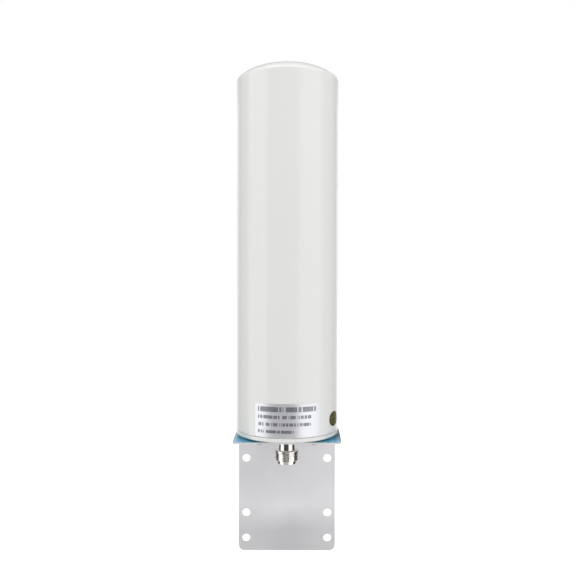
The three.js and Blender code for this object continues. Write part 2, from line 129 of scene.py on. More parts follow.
# Label's print, in shares of the label's width and height
BAR_LEFT = 0.05
BAR_STROKE = 0.7
BAR_GAP_SHARE = 0.25
BAR_ROWS = (  # centre height, half height, right end, cells across the label
    (0.835, 0.075, 0.95, 64),
    (0.605, 0.050, 0.87, 76),
    (0.385, 0.048, 0.88, 82),
    (0.170, 0.045, 0.60, 70),
)

# Label and sticker, off the tube's wall
STICKER_GLUE = 0.05 * MM
STICKER_THICKNESS = 0.12 * MM
LABEL_HALF_ANGLE = math.radians(36)
LABEL_CORNER_RADIUS = 0.8 * MM

# Oval sticker
STICKER_ANGLE = math.radians(63)
STICKER_HALF_WIDTH = 5.9 * MM
STICKER_SQUARENESS = 0.8

# N-type jack
THREAD_RADIUS = 7.94 * MM
THREAD_PITCH = 1.058 * MM
THREAD_DEPTH = 0.6 * MM
NECK_RADIUS = 5.5 * MM
NOSE_RADIUS = 6.35 * MM
SHANK_RADIUS = 6.2 * MM
SHANK_HOLE_RADIUS = 6.6 * MM
SOCKET_RADIUS = 4.02 * MM
BORE_RADIUS = 3.05 * MM
HEX_ACROSS_FLATS = 19 * MM
HEX_THICKNESS = 2.6 * MM
THREAD_LEAD_IN = 0.7 * MM
THREAD_RUNOUT = 0.5 * MM
NECK_BOTTOM = FLANGE_TOP - 10.6 * MM
THREAD_TOP = NECK_BOTTOM - 0.8 * MM
THREAD_BOTTOM = FLANGE_TOP - 17.4 * MM

# Bracket screws
SCREW_SHANK_RADIUS = 1.5 * MM
SCREW_HEAD_ROUNDING = 1.1 * MM
SCREW_TIP = 0.6 * MM
CROSS_ARM = (1.5 * MM, 0.35 * MM)
CROSS_DEPTH = 1.1 * MM

# Camera
CAMERA_DISTANCE = 453.3 * MM
CAMERA_SIDE = 0.5 * MM
CAMERA_ABOVE_RIM = 96.8 * MM
CAMERA_LENS = 42.09
CAMERA_SENSOR = 36
CAMERA_ROLL = math.radians(-0.13)

# Light, as radiance
ROOM_LIGHT = 0.08
WALL_LIGHT = 1.0
CEILING_LIGHT = 1.2
REAR_LIGHT = 0.2
GROUND_LIGHT = 0.72
SOFTBOX_DISTANCE = 0.9
SOFTBOXES = (  # name, azimuth, elevation, width, height, radiance
    ("softbox_left", -70, 0, 0.84, 2.0, 1.45),
    ("softbox_right", 53, 0, 0.96, 2.0, 1.34),
    ("softbox_top", 0, 85, 0.8, 0.45, 3.0),
)

# Floor
FLOOR_REACH = 60
FLOOR_HEIGHT = -0.40


# ---- Mesh building --------------------------------------------------------------------------

def mesh_object(name, vertices, faces, crease_degrees=35):
    """A smooth-shaded object whose edges sharper than the crease angle stay sharp."""
    mesh = bpy.data.meshes.new(name)
    mesh.from_pydata([tuple(v) for v in vertices], [], faces)
    mesh.validate()
    made = bpy.data.objects.new(name, mesh)
    bpy.context.scene.collection.objects.link(made)
    face_out(mesh)
    shade(mesh, crease_degrees)
    return made


def face_out(mesh):
    """Turns a closed mesh's faces outward."""
    work = bmesh.new()
    work.from_mesh(mesh)
    bmesh.ops.recalc_face_normals(work, faces=work.faces)
    work.to_mesh(mesh)
    work.free()


def shade(mesh, crease_degrees):
    mesh.shade_smooth()
    mesh.set_sharp_from_angle(angle=math.radians(crease_degrees))


def arc(centre, radius, start, end, steps):
    """Points of an arc round a centre, between two angles in degrees."""
    points = []
    for i in range(steps + 1):
        angle = math.radians(start + (end - start) * i / steps)
        points.append((centre[0] + radius * math.cos(angle), centre[1] + radius * math.sin(angle)))
    return points


def fillet(before, corner, after, radius, steps=4):
    """Points of the arc that rounds a corner of an outline."""
    corner = Vector(corner)
    arm_in = (Vector(before) - corner).normalized()
    arm_out = (Vector(after) - corner).normalized()
    half = arm_in.angle(arm_out) / 2
    reach = radius / math.tan(half)
    centre = corner + (arm_in + arm_out).normalized() * (radius / math.sin(half))
    start = corner + arm_in * reach - centre
    end = corner + arm_out * reach - centre
    sweep = start.angle_signed(end)
    points = []
    for i in range(steps + 1):
        angle = -sweep * i / steps
        turned = Vector((
            start.x * math.cos(angle) - start.y * math.sin(angle),
            start.x * math.sin(angle) + start.y * math.cos(angle),
        ))
        points.append(tuple(centre + turned))
    return points


def rounded(points, closed=True):
    """An outline from (x, y) or (x, y, corner radius) points."""
    outline = []
    count = len(points)
    for i, point in enumerate(points):
        ends = not closed and i in (0, count - 1)
        if len(point) == 2 or ends:
            outline.append(tuple(point[:2]))
        else:
            before = points[i - 1][:2]
            after = points[(i + 1) % count][:2]
            outline.extend(fillet(before, point[:2], after, point[2]))
    return outline


def revolve(name, profile, closed=True, divisions=192, radius_at=None, centre=None, crease=35):
    """A body of revolution about a vertical axis, from (radius, height) points.

    radius_at(radius, height, angle) can change the radius round the axis, for threads and flats.
    """
    axis_x, axis_y = centre or (AXIS_X, AXIS_Y)
    vertices = []
    rings = []
    for radius, height in profile:
        if radius <= 0:
            rings.append([len(vertices)] * divisions)
            vertices.append((axis_x, axis_y, height))
            continue
        ring = []
        for k in range(divisions):
            angle = 2 * math.pi * k / divisions
            reach = radius_at(radius, height, angle) if radius_at else radius
            ring.append(len(vertices))
            vertices.append((axis_x + reach * math.cos(angle), axis_y + reach * math.sin(angle), height))
        rings.append(ring)
    pairs = list(zip(rings, rings[1:]))
    if closed:
        pairs.append((rings[-1], rings[0]))
    faces = []
    for low, high in pairs:
        for k in range(divisions):
            after = (k + 1) % divisions
            corners = [low[k], low[after], high[after], high[k]]
            face = list(dict.fromkeys(corners))
            if len(face) > 2:
                faces.append(face)
    return mesh_object(name, vertices, faces, crease)


def sheet_faces(columns, rows):
    """Faces of a closed thin sheet, whose vertices are its lower layer, then its upper one."""
    stride = columns + 1
    upper = stride * (rows + 1)
    faces = []
    for j in range(rows):
        for k in range(columns):
            corner = j * stride + k
            quad = [corner, corner + 1, corner + 1 + stride, corner + stride]
            faces.append(quad[::-1])
            faces.append([upper + vertex for vertex in quad])
    edge = list(range(columns))
    edge += [j * stride + columns for j in range(rows)]
    edge += [rows * stride + k for k in range(columns, 0, -1)]
    edge += [j * stride for j in range(rows, 0, -1)]
    for here, after in zip(edge, edge[1:] + edge[:1]):
        faces.append([here, after, upper + after, upper + here])
    return faces


def prism(name, outline, place):
    """A closed prism. place(u, v, side) puts an outline point on side 0 or 1."""
    count = len(outline)
    vertices = [place(u, v, side) for side in (0, 1) for u, v in outline]
    faces = [list(range(count)), list(range(2 * count - 1, count - 1, -1))]
    for i in range(count):
        after = (i + 1) % count
        faces.append([i, count + i, count + after, after])
    return mesh_object(name, vertices, faces)


def rod(name, radius, start, end, sides=64):
    """A plain cylinder between two points, used to cut holes and raise bosses."""
    start = Vector(start)
    along = (Vector(end) - start).normalized()
    side = along.orthogonal().normalized()
    other = along.cross(side)
    ends = (start, Vector(end))
    circle = [(radius * math.cos(2 * math.pi * i / sides), radius * math.sin(2 * math.pi * i / sides))
              for i in range(sides)]
    return prism(name, circle, lambda u, v, s: ends[s] + side * u + other * v)


def uprights(name, radius, places, low, high, sides=64):
    """Upright rods at several (x, y) places."""
    return [rod(name, radius, (x, y, low), (x, y, high), sides) for x, y in places]


def apply_modifiers(piece):
    """Bakes the piece's modifiers into its mesh."""
    graph = bpy.context.evaluated_depsgraph_get()
    baked = bpy.data.meshes.new_from_object(piece.evaluated_get(graph))
    piece.modifiers.clear()
    piece.data = baked


def combine(piece, others, operation):
    """Cuts others from the piece, or joins or intersects them, and removes them."""
    for other in others:
        step = piece.modifiers.new(operation, "BOOLEAN")
        step.operation = operation
        step.solver = "EXACT"
        step.object = other
    apply_modifiers(piece)
    shade(piece.data, 35)
    for other in others:
        bpy.data.objects.remove(other)
    return piece


def soften_edges(piece, width, segments=2, angle=30):
    """Breaks the sharp edges, as tumbling or deburring does."""
    bevel = piece.modifiers.new("edges", "BEVEL")
    bevel.width = width
    bevel.segments = segments
    bevel.limit_method = "ANGLE"
    bevel.angle_limit = math.radians(angle)
    bevel.harden_normals = True
    apply_modifiers(piece)
    return piece


def present(piece, material, slot, *nodes):
    """Gives a piece its material, its body and the CAD nodes it stands for. The slot argument is not used."""
    piece.data.materials.clear()
    piece.data.materials.append(material)
    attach(piece, BODY)
    if nodes:
        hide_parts(*nodes)
    return piece


# ---- Material building ----------------------------------------------------------------------

class Look:
    """A material under construction: a Principled shader and short calls to add nodes."""

    def __init__(self, name, color, roughness, metallic=0.0, **sockets):
        self.material = bpy.data.materials.new(name)
        self.material.use_nodes = True
        self.tree = self.material.node_tree
        self.shader = self.tree.nodes["Principled BSDF"]
        self.shader.inputs["Base Color"].default_value = (*color, 1)
        self.shader.inputs["Roughness"].default_value = roughness
        self.shader.inputs["Metallic"].default_value = metallic
        for socket, value in sockets.items():
            self.shader.inputs[socket.replace("_", " ")].default_value = value
        self.place = self.node("ShaderNodeTexCoord").outputs["Object"]

    def node(self, kind, inputs=None, **settings):
        made = self.tree.nodes.new(kind)
        for key, value in settings.items():
            setattr(made, key, value)
        for key, value in (inputs or {}).items():
            self.connect(value, made.inputs[key])
        return made

    def connect(self, value, socket):
        if isinstance(value, bpy.types.NodeSocket):
            self.tree.links.new(value, socket)
        else:
            socket.default_value = value

    def stretched(self, x, y, z):
        """The place, scaled along each axis."""
        return self.node("ShaderNodeMapping", {"Vector": self.place, "Scale": (x, y, z)}).outputs[0]

    def noise(self, scale, detail=2.0, place=None):
        values = {"Vector": place or self.place, "Scale": scale, "Detail": detail}
        return self.node("ShaderNodeTexNoise", values).outputs["Fac"]

    def wave(self, place, scale, direction):
        inputs = {"Vector": place, "Scale": scale}
        return self.node("ShaderNodeTexWave", inputs, bands_direction=direction).outputs["Fac"]

    def ramp(self, value, low, high, to_low=0.0, to_high=1.0):
        """Maps low..high of a value to to_low..to_high, clamped."""
        inputs = {"Value": value, "From Min": low, "From Max": high, "To Min": to_low, "To Max": to_high}
        return self.node("ShaderNodeMapRange", inputs).outputs[0]

    def math(self, operation, first, second=0.0):
        return self.node("ShaderNodeMath", {0: first, 1: second}, operation=operation).outputs[0]

    def mix(self, factor, first, second):
        """A colour between first and second. Each is a colour or a socket."""
        made = self.node("ShaderNodeMix", data_type="RGBA")
        self.connect(factor, made.inputs[0])
        for index, value in ((6, first), (7, second)):
            is_socket = isinstance(value, bpy.types.NodeSocket)
            self.connect(value if is_socket else (*value, 1), made.inputs[index])
        return made.outputs[2]

    def color(self, value):
        self.connect(value, self.shader.inputs["Base Color"])

    def roughness(self, value):
        self.connect(value, self.shader.inputs["Roughness"])

    def bump(self, height, strength, distance):
        """Adds a bump on top of those already there."""
        inputs = {"Height": height, "Strength": strength, "Distance": distance}
        normal = self.shader.inputs["Normal"]
        if normal.is_linked:
            inputs["Normal"] = normal.links[0].from_socket
        self.connect(self.node("ShaderNodeBump", inputs).outputs[0], normal)


def white_plastic():
    """Off-white moulded plastic: a faint orange peel, slow colour drift and a few dull patches."""
    look = Look("white_plastic", (0.80, 0.81, 0.79), 0.15, IOR=1.46)
    drift = look.noise(14, 3)
    look.color(look.mix(look.ramp(drift, 0.3, 0.7), (0.79, 0.80, 0.775), (0.81, 0.815, 0.80)))
    look.roughness(look.ramp(look.noise(60, 4), 0.3, 0.7, 0.13, 0.19))
    look.bump(look.noise(420, 2), 0.03, 0.1 * MM)
    return look.material


def bracket_aluminium():
    """Mill-finish sheet: long rolling lines, a cloudy lustre, fine specks and a painted shade that darkens
    its lower part.
    """
    look = Look("bracket_aluminium", (0.86, 0.85, 0.87), 0.58, 0.5)
    rolling = look.noise(1, 4, look.stretched(2600, 2600, 45))
    cloud = look.noise(38, 3)
    speck = look.noise(2300, 2)
    unshaded = look.mix(look.ramp(cloud, 0.3, 0.7), (0.835, 0.825, 0.845), (0.88, 0.87, 0.885))
    # The darker colour mixed in here is painted shade, low on the plate and most in its middle.
    look.color(look.mix(painted_low_shade(look), unshaded, (0.62, 0.61, 0.625)))
    fine = look.math("MULTIPLY", look.ramp(rolling, 0.3, 0.7, -1, 1), 0.035)
    look.roughness(look.math("ADD", look.ramp(cloud, 0.3, 0.7, 0.54, 0.62), fine))
    look.bump(rolling, 0.10, 0.02 * MM)
    look.bump(speck, 0.06, 0.02 * MM)
    return look.material


def painted_low_shade(look):
    """Painted shade: how much darker the sheet is painted, low on the plate and most in its middle."""
    parts = look.node("ShaderNodeSeparateXYZ", {"Vector": look.place})
    # A noise wobbles the border of the painted shade.
    shade_border_wobble = look.math("MULTIPLY", look.math("SUBTRACT", look.noise(30, 2), 0.5), SHADE_BORDER_WAVE)
    low = look.ramp(look.math("ADD", parts.outputs["Z"], shade_border_wobble), SHADE_TOP, SHADE_FULL)
    middle = look.ramp(look.math("ABSOLUTE", parts.outputs["X"]), 5 * MM, 34 * MM, 1.0, 0.65)
    return look.math("MULTIPLY", low, middle)


def blue_film():
    """Thin protective film: translucent blue with small trapped-air blisters, a soft sheen, and a painted
    sheen that makes its loose side edges paler grey-blue.
    """
    look = Look("blue_film", (0.14, 0.40, 0.56), 0.18, IOR=1.5, Alpha=0.9)
    haze = look.noise(160, 3)
    across = look.node("ShaderNodeSeparateXYZ", {"Vector": look.place}).outputs["X"]
    half = (FILM_HIGH.x - FILM_LOW.x) / 2
    loose = look.ramp(look.math("ABSOLUTE", across), half - FILM_LOOSE_EDGE, half - 0.5 * FILM_LOOSE_EDGE)
    stuck = look.mix(look.ramp(haze, 0.35, 0.7), (0.12, 0.42, 0.61), (0.20, 0.52, 0.70))
    # The paler grey-blue along the loose side edges is a painted sheen of light on the lifted film.
    look.color(look.mix(loose, stuck, (0.36, 0.50, 0.62)))
    look.roughness(look.ramp(haze, 0.3, 0.7, 0.14, 0.3))
    look.bump(look.noise(300, 2), 0.15, 0.1 * MM)
    return look.material


def printed_foil():
    """Silver foil label with a generic print: a frame-free block of plain bars, no letters."""
    look = Look("silver_foil", (0.75, 0.755, 0.80), 0.32, 0.5)
    uv = look.node("ShaderNodeTexCoord").outputs["UV"]
    parts = look.node("ShaderNodeSeparateXYZ", {"Vector": uv})
    across, up = parts.outputs["X"], parts.outputs["Y"]
    grain = look.noise(1, 3, look.stretched(500, 500, 9000))
    ink = bar_rows(look, across, up)
    foil = look.mix(look.ramp(grain, 0.3, 0.7), (0.735, 0.74, 0.785), (0.77, 0.775, 0.815))
    look.color(look.mix(ink, foil, (0.03, 0.03, 0.035)))
    look.connect(look.ramp(ink, 0, 1, 0.5, 0.0), look.shader.inputs["Metallic"])
    look.roughness(look.ramp(ink, 0, 1, 0.32, 0.5))
    look.bump(grain, 0.05, 0.01 * MM)
    return look.material


def bar_rows(look, across, up):
    """Four rows of short upright bars, as a mask from 0 to 1 over the label's 0..1 coordinates."""
    total = None
    for centre, half_height, right, cells in BAR_ROWS:
        from_centre = look.math("ABSOLUTE", look.math("SUBTRACT", up, centre))
        inside_row = look.math("LESS_THAN", from_centre, half_height)
        after_left = look.math("GREATER_THAN", across, BAR_LEFT)
        before_right = look.math("LESS_THAN", across, right)
        along = look.math("MULTIPLY", across, cells)
        cell = look.math("FLOOR", look.math("ADD", along, cells * 3))
        value = look.node("ShaderNodeTexWhiteNoise", {"W": cell}, noise_dimensions="1D").outputs["Value"]
        stroke = look.math("LESS_THAN", look.math("FRACT", along), BAR_STROKE)
        bar = look.math("MULTIPLY", look.math("GREATER_THAN", value, BAR_GAP_SHARE), stroke)
        row = look.math("MULTIPLY", look.math("MULTIPLY", inside_row, bar),
                        look.math("MULTIPLY", after_left, before_right))
        total = row if total is None else look.math("ADD", total, row)
    return total


def hologram_foil():
    """Dark olive-gold sticker with a plain lozenge relief."""
    look = Look("gold_foil", (0.30, 0.27, 0.10), 0.3, 1.0)
    uv = look.node("ShaderNodeTexCoord").outputs["UV"]
    turned = look.node("ShaderNodeMapping", {"Vector": uv, "Rotation": (0, 0, math.radians(45))}).outputs[0]
    cells = look.node("ShaderNodeTexChecker", {"Vector": turned, "Scale": 6}).outputs["Fac"]
    flakes = look.node("ShaderNodeTexVoronoi", {"Vector": uv, "Scale": 8}).outputs["Distance"]
    blend = look.math("MULTIPLY", look.ramp(flakes, 0.1, 0.4), 0.65)
    blend = look.math("ADD", blend, look.math("MULTIPLY", cells, 0.35))
    look.color(look.mix(blend, (0.13, 0.118, 0.03), (0.50, 0.465, 0.21)))
    look.roughness(look.ramp(flakes, 0.1, 0.5, 0.2, 0.42))
    look.bump(flakes, 0.3, 0.05 * MM)
    return look.material


def metal(name, dark, light, roughness, scale=90, bump=0.05):
    """Plated or turned metal with faint stains and hairline wear."""
    look = Look(name, light, roughness, 1.0)
    stain = look.noise(scale, 4)
    look.color(look.mix(look.ramp(stain, 0.35, 0.65), dark, light))
    look.roughness(look.ramp(look.noise(scale * 3, 3), 0.3, 0.7, roughness * 0.75, roughness * 1.3))
    look.bump(look.noise(1, 3, look.stretched(300, 300, 9000)), bump, 0.01 * MM)
    return look.material


def dull_solid(name, dark, light, roughness, scale, bump, depth=0.1 * MM):
    """A matte plastic, rubber or foam with grain at its own scale."""
    look = Look(name, light, roughness)
    grain = look.noise(scale, 4)
    look.color(look.mix(look.ramp(grain, 0.3, 0.7), dark, light))
    look.roughness(look.ramp(grain, 0.3, 0.7, roughness * 0.9, min(1, roughness * 1.1)))
    look.bump(grain, bump, depth)
    return look.material


def foam():
    """Closed-cell packing foam."""
    look = Look("foam", (0.88, 0.88, 0.86), 0.9)
    cells = look.node("ShaderNodeTexVoronoi", {"Vector": look.place, "Scale": 700}).outputs["Distance"]
    look.color(look.mix(look.ramp(cells, 0.1, 0.6), (0.80, 0.80, 0.78), (0.92, 0.92, 0.90)))
    look.bump(cells, 0.5, 0.4 * MM)
    return look.material


def circuit_board():
    """Green solder mask over a fine glass weave."""
    look = Look("circuit_board", (0.05, 0.19, 0.08), 0.35, Coat_Weight=0.3)
    weave = look.math("MULTIPLY", look.wave(look.place, 380, "X"), look.wave(look.place, 380, "Z"))
    look.color(look.mix(weave, (0.035, 0.15, 0.06), (0.07, 0.24, 0.11)))
    look.bump(weave, 0.15, 0.05 * MM)
    return look.material


def cable_braid():
    """Tinned braid: two crossed sets of fine strands."""
    look = Look("cable_braid", (0.6, 0.57, 0.52), 0.4, 0.9)
    left = look.wave(look.stretched(900, 900, 600), 1, "X")
    right = look.wave(look.stretched(900, 900, -600), 1, "X")
    braid = look.math("MAXIMUM", left, right)
    look.color(look.mix(braid, (0.30, 0.28, 0.25), (0.66, 0.63, 0.58)))
    look.bump(braid, 0.4, 0.1 * MM)
    return look.material


LOOKS = {
    "white_plastic": white_plastic(),
    "bracket_aluminium": bracket_aluminium(),
    "blue_film": blue_film(),
    "silver_foil": printed_foil(),
    "gold_foil": hologram_foil(),
    "nickel_plate": metal("nickel_plate", (0.70, 0.68, 0.65), (0.80, 0.78, 0.76), 0.10),
    "steel": metal("steel", (0.50, 0.50, 0.52), (0.64, 0.64, 0.66), 0.28),
    "gold_plate": metal("gold_plate", (0.78, 0.55, 0.20), (0.92, 0.72, 0.36), 0.16),
    "ptfe": dull_solid("ptfe", (0.84, 0.84, 0.81), (0.92, 0.92, 0.90), 0.45, 260, 0.1),
    "rubber": dull_solid("rubber", (0.015, 0.015, 0.016), (0.035, 0.035, 0.036), 0.75, 500, 0.3),
    "circuit_board": circuit_board(),
    "copper": metal("copper", (0.60, 0.28, 0.16), (0.80, 0.44, 0.28), 0.3, 120, 0.1),
    "cable_braid": cable_braid(),
    "solder": metal("solder", (0.38, 0.39, 0.40), (0.56, 0.57, 0.58), 0.35, 400, 0.2),
    "foam": foam(),
}


# ---- Tube and cap ---------------------------------------------------------------------------

def dome_profile(radius, low, high, wall):
    """The cup's outline: up the inside from the axis, down to the mouth and up the outside."""
    normal = 90 - math.degrees(DOME_EDGE_SLOPE)
    edge_centre = radius - DOME_EDGE_RADIUS
    dome_start = edge_centre + DOME_EDGE_RADIUS * math.cos(math.radians(normal))
    dome_radius = (dome_start - DOME_FLAT_RADIUS) / math.sin(DOME_EDGE_SLOPE)
    centre = (DOME_FLAT_RADIUS, high - dome_radius)
    dome_start_z = centre[1] + dome_radius * math.cos(DOME_EDGE_SLOPE)
    shoulder = (edge_centre, dome_start_z - DOME_EDGE_RADIUS * math.sin(math.radians(normal)))
    inner_radius = radius - wall
    inner_dome = dome_radius - wall
    inner_edge = math.degrees(math.acos((inner_radius - DOME_FLAT_RADIUS) / inner_dome))
    lip = 0.35 * MM
    return [
        (0, high - wall),
        *arc(centre, inner_dome, 90, inner_edge, 16),
        (inner_radius, low),
        (radius - lip, low),
        *fillet((inner_radius, low), (radius, low), (radius, high), lip),
        *arc(shoulder, DOME_EDGE_RADIUS, 0, normal, 8),
        *arc(centre, dome_radius, normal, 90, 28)[1:],
        (0, high),
    ]


def radome_shell():
    profile = dome_profile(TUBE_RADIUS, SHELL_LOW.z, SHELL_HIGH.z, TUBE_WALL)
    return revolve("radome_shell_fine", profile, closed=False)


def screw_places():
    sides = (-SCREW_OFFSET, SCREW_OFFSET)
    return [(AXIS_X + x, AXIS_Y + y) for y in sides for x in sides]


def base_cap():
    base = FLANGE_TOP
    profile = rounded([
        (SHANK_HOLE_RADIUS, CAP_LOW.z),
        (CAP_FOOT_RADIUS, CAP_LOW.z),
        (CAP_FOOT_RADIUS, base + RIM_BOTTOM),
        (TUBE_RADIUS, base + RIM_BOTTOM, RIM_LOWER_RADIUS),
        (TUBE_RADIUS, base + RIM_TOP, 0.3 * MM),
        (SPIGOT_RADIUS, base + RIM_TOP),
        (SPIGOT_RADIUS, base + GROOVE_BOTTOM),
        (GROOVE_RADIUS, base + GROOVE_BOTTOM),
        (GROOVE_RADIUS, base + GROOVE_TOP),
        (SPIGOT_RADIUS, base + GROOVE_TOP),
        (SPIGOT_RADIUS, CAP_HIGH.z, 0.5 * MM),
        (SPIGOT_INNER, CAP_HIGH.z, 0.5 * MM),
        (SPIGOT_INNER, base + CAP_FLOOR, 0.5 * MM),
        (SHANK_HOLE_RADIUS, base + CAP_FLOOR),
    ])
    cap = revolve("base_cap_fine", profile)
    pad_places = [(AXIS_X + side * PAD_OFFSET[0], AXIS_Y + PAD_OFFSET[1]) for side in (-1, 1)]
    root = base + CAP_FLOOR - 1 * MM
    bosses = uprights("boss", BOSS_RADIUS, screw_places(), root, base + BOSS_TOP)
    pads = uprights("pad", PAD_RADIUS, pad_places, root, base + PAD_TOP)
    combine(cap, bosses + pads, "UNION")
    blind_top = base + BOSS_TOP - BOSS_ROOF
    holes = uprights("hole", SCREW_HOLE_RADIUS, screw_places(), base - 1 * MM, blind_top)
    holes += uprights("hole", SCREW_HOLE_RADIUS, pad_places, base + PAD_HOLE_BOTTOM, base + BOSS_TOP)
    return combine(cap, holes, "DIFFERENCE")


# ---- Label and sticker ----------------------------------------------------------------------

def wrapped_sheet(name, centre_angle, rows, columns=40):
    """A thin closed sheet bent round the tube. rows lists (height, half width along the wall)."""
    inner = TUBE_RADIUS + STICKER_GLUE
    outer = inner + STICKER_THICKNESS
    width = max(half for _, half in rows)
    low, high = rows[0][0], rows[-1][0]
    vertices = []
    uvs = []
    for radius in (inner, outer):
        for height, half in rows:
            for k in range(columns + 1):
                across = -half + 2 * half * k / columns
                angle = centre_angle + across / TUBE_RADIUS
                x = AXIS_X + radius * math.sin(angle)
                y = AXIS_Y - radius * math.cos(angle)
                vertices.append((x, y, height))
                uvs.append(((across + width) / (2 * width), (height - low) / (high - low)))
    made = mesh_object(name, vertices, sheet_faces(columns, len(rows) - 1))
    set_uvs(made.data, uvs)
    return made


def set_uvs(mesh, uvs):
    layer = mesh.uv_layers.new(name="sheet")
    for loop in mesh.loops:
        layer.data[loop.index].uv = uvs[loop.vertex_index]


def name_label():
    half = TUBE_RADIUS * LABEL_HALF_ANGLE
    corner = LABEL_CORNER_RADIUS
    low, high = LABEL_LOW.z, LABEL_HIGH.z
    steps = 5
    rows = []
    for i in range(steps + 1):
        angle = math.pi / 2 * i / steps
        rows.append((low + corner * (1 - math.cos(angle)), half - corner * (1 - math.sin(angle))))
    middle = [(low + (high - low) * i / 10, half) for i in range(1, 10)]
    top = [(low + high - height, width) for height, width in reversed(rows)]
    return wrapped_sheet("name_label_fine", 0, rows + middle + top)


def inspection_sticker():
    """The oval sticker. Its outline is a little squarer than an ellipse."""
    middle = (STICKER_LOW.z + STICKER_HIGH.z) / 2
    half_height = (STICKER_HIGH.z - STICKER_LOW.z) / 2
    steps = 24
    rows = []
    for i in range(steps + 1):
        tilt = math.radians(-87 + 174 * i / steps)
        width = STICKER_HALF_WIDTH * math.cos(tilt) ** STICKER_SQUARENESS
        rows.append((middle + half_height * math.sin(tilt), width))
    return wrapped_sheet("inspection_sticker_fine", STICKER_ANGLE, rows, 20)


# ---- Bracket and film -----------------------------------------------------------------------

def mounting_bracket():
    """The folded L, with its holes and deburred edges."""
    left, right = BRACKET_LOW.x, BRACKET_HIGH.x
    bend = (PLATE_FRONT - BEND_INNER_RADIUS, FLANGE_TOP - SHEET - BEND_INNER_RADIUS)
    section = [
        (BRACKET_LOW.y, FLANGE_TOP - SHEET),
        *arc(bend, BEND_INNER_RADIUS, 90, 0, 12),
        (PLATE_FRONT, BRACKET_LOW.z),
        (PLATE_BACK, BRACKET_LOW.z),
        *arc(bend, BEND_INNER_RADIUS + SHEET, 0, 90, 12),
        (BRACKET_LOW.y, FLANGE_TOP),
    ]
    bracket = prism("mounting_bracket_fine", section, lambda y, z, s: (right if s else left, y, z))
    above = FLANGE_TOP + CUT_REACH
    corner = PLATE_CORNER_RADIUS
    outline = [
        (right, above),
        (left, above),
        *arc((left + corner, BRACKET_LOW.z + corner), corner, 180, 270, 12),
        *arc((right - corner, BRACKET_LOW.z + corner), corner, -90, 0, 12),
    ]
    front, back = BRACKET_LOW.y - CUT_REACH, BRACKET_HIGH.y + CUT_REACH
    trim = prism("trim", outline, lambda x, z, s: (x, back if s else front, z))
    combine(bracket, [trim], "INTERSECT")
    below = FLANGE_TOP - CUT_REACH
    cutters = uprights("hole", SHANK_HOLE_RADIUS, [(AXIS_X, AXIS_Y)], below, above)
    cutters += uprights("hole", SCREW_HOLE_RADIUS, screw_places(), below, above, 32)
    for row in BOLT_ROWS:
        for x in (-BOLT_SPACING / 2, BOLT_SPACING / 2):
            z = FLANGE_TOP + row
            cutters.append(rod("hole", BOLT_HOLE_RADIUS, (x, PLATE_FRONT - CUT_REACH, z), (x, back, z), 48))
    combine(bracket, cutters, "DIFFERENCE")
    return soften_edges(bracket, EDGE_BREAK)


def film_lift(x, y):
    """How far the film has come off the flange: most along its side edges, towards the front.
    The right edge also curls up beside the tube."""
    half = (FILM_HIGH.x - FILM_LOW.x) / 2
    side = max(0.0, (abs(x - AXIS_X) - half + FILM_LOOSE_EDGE) / FILM_LOOSE_EDGE)
    towards_front = (FILM_HIGH.y - y) / (FILM_HIGH.y - FILM_LOW.y)
    ripple = 0.75 + 0.25 * math.sin(y / FILM_RIPPLE_LENGTH + (2 if x > AXIS_X else 0))
    curl = FILM_CURL * side ** 5 * math.sin(math.pi * towards_front) if x > AXIS_X else 0
    return FILM_LIFT * side ** 1.6 * towards_front * ripple + curl


def film_columns():
    """Places across the film, closer together in its loose side edges."""
    stuck = (FILM_HIGH.x - FILM_LOW.x) / 2 - FILM_LOOSE_EDGE
    fine, coarse = 8, 44
    right = [stuck + FILM_LOOSE_EDGE * i / fine for i in range(1, fine + 1)]
    left = [-x for x in reversed(right)]
    middle = [-stuck + 2 * stuck * i / coarse for i in range(coarse + 1)]
    return [AXIS_X + x for x in left + middle + right]


def protective_film():
    """A thin sheet on the flange that curls up a little along its free edges."""
    across = film_columns()
    columns, rows = len(across) - 1, 40
    vertices = []
    for layer in (0, 1):
        for j in range(rows + 1):
            y = FILM_LOW.y + (FILM_HIGH.y - FILM_LOW.y) * j / rows
            for x in across:
                lift = film_lift(x, y)
                vertices.append((x, y, FLANGE_TOP + FILM_GAP + lift + FILM_THICKNESS * layer))
    film = mesh_object("protective_film_fine", vertices, sheet_faces(columns, rows))
    low, high = FLANGE_TOP - CUT_REACH, FLANGE_TOP + CUT_REACH
    holes = uprights("hole", SHANK_HOLE_RADIUS + FILM_HOLE_MARGIN, [(AXIS_X, AXIS_Y)], low, high)
    holes += uprights("hole", SCREW_HOLE_RADIUS + FILM_HOLE_MARGIN, screw_places(), low, high, 32)
    return combine(film, holes, "DIFFERENCE")


# ---- Jack and screws ------------------------------------------------------------------------

def hex_reach(angle, across_flats):
    """Distance from the axis to a hexagon's side at an angle."""
    local = (angle + math.pi / 6) % (math.pi / 3) - math.pi / 6
    return across_flats / 2 / math.cos(local)


def thread_drop(height, angle):
    """Depth of the helical groove: a V with a flat crest and root, fading out at both ends."""
    phase = (height / THREAD_PITCH + angle / (2 * math.pi)) % 1
    groove = max(0.0, min(1.0, (abs(2 * phase - 1) - 0.12) / 0.70))
    runout = min(height - THREAD_BOTTOM, THREAD_TOP - height) / THREAD_RUNOUT
    return THREAD_DEPTH * groove * max(0.0, min(1.0, runout))


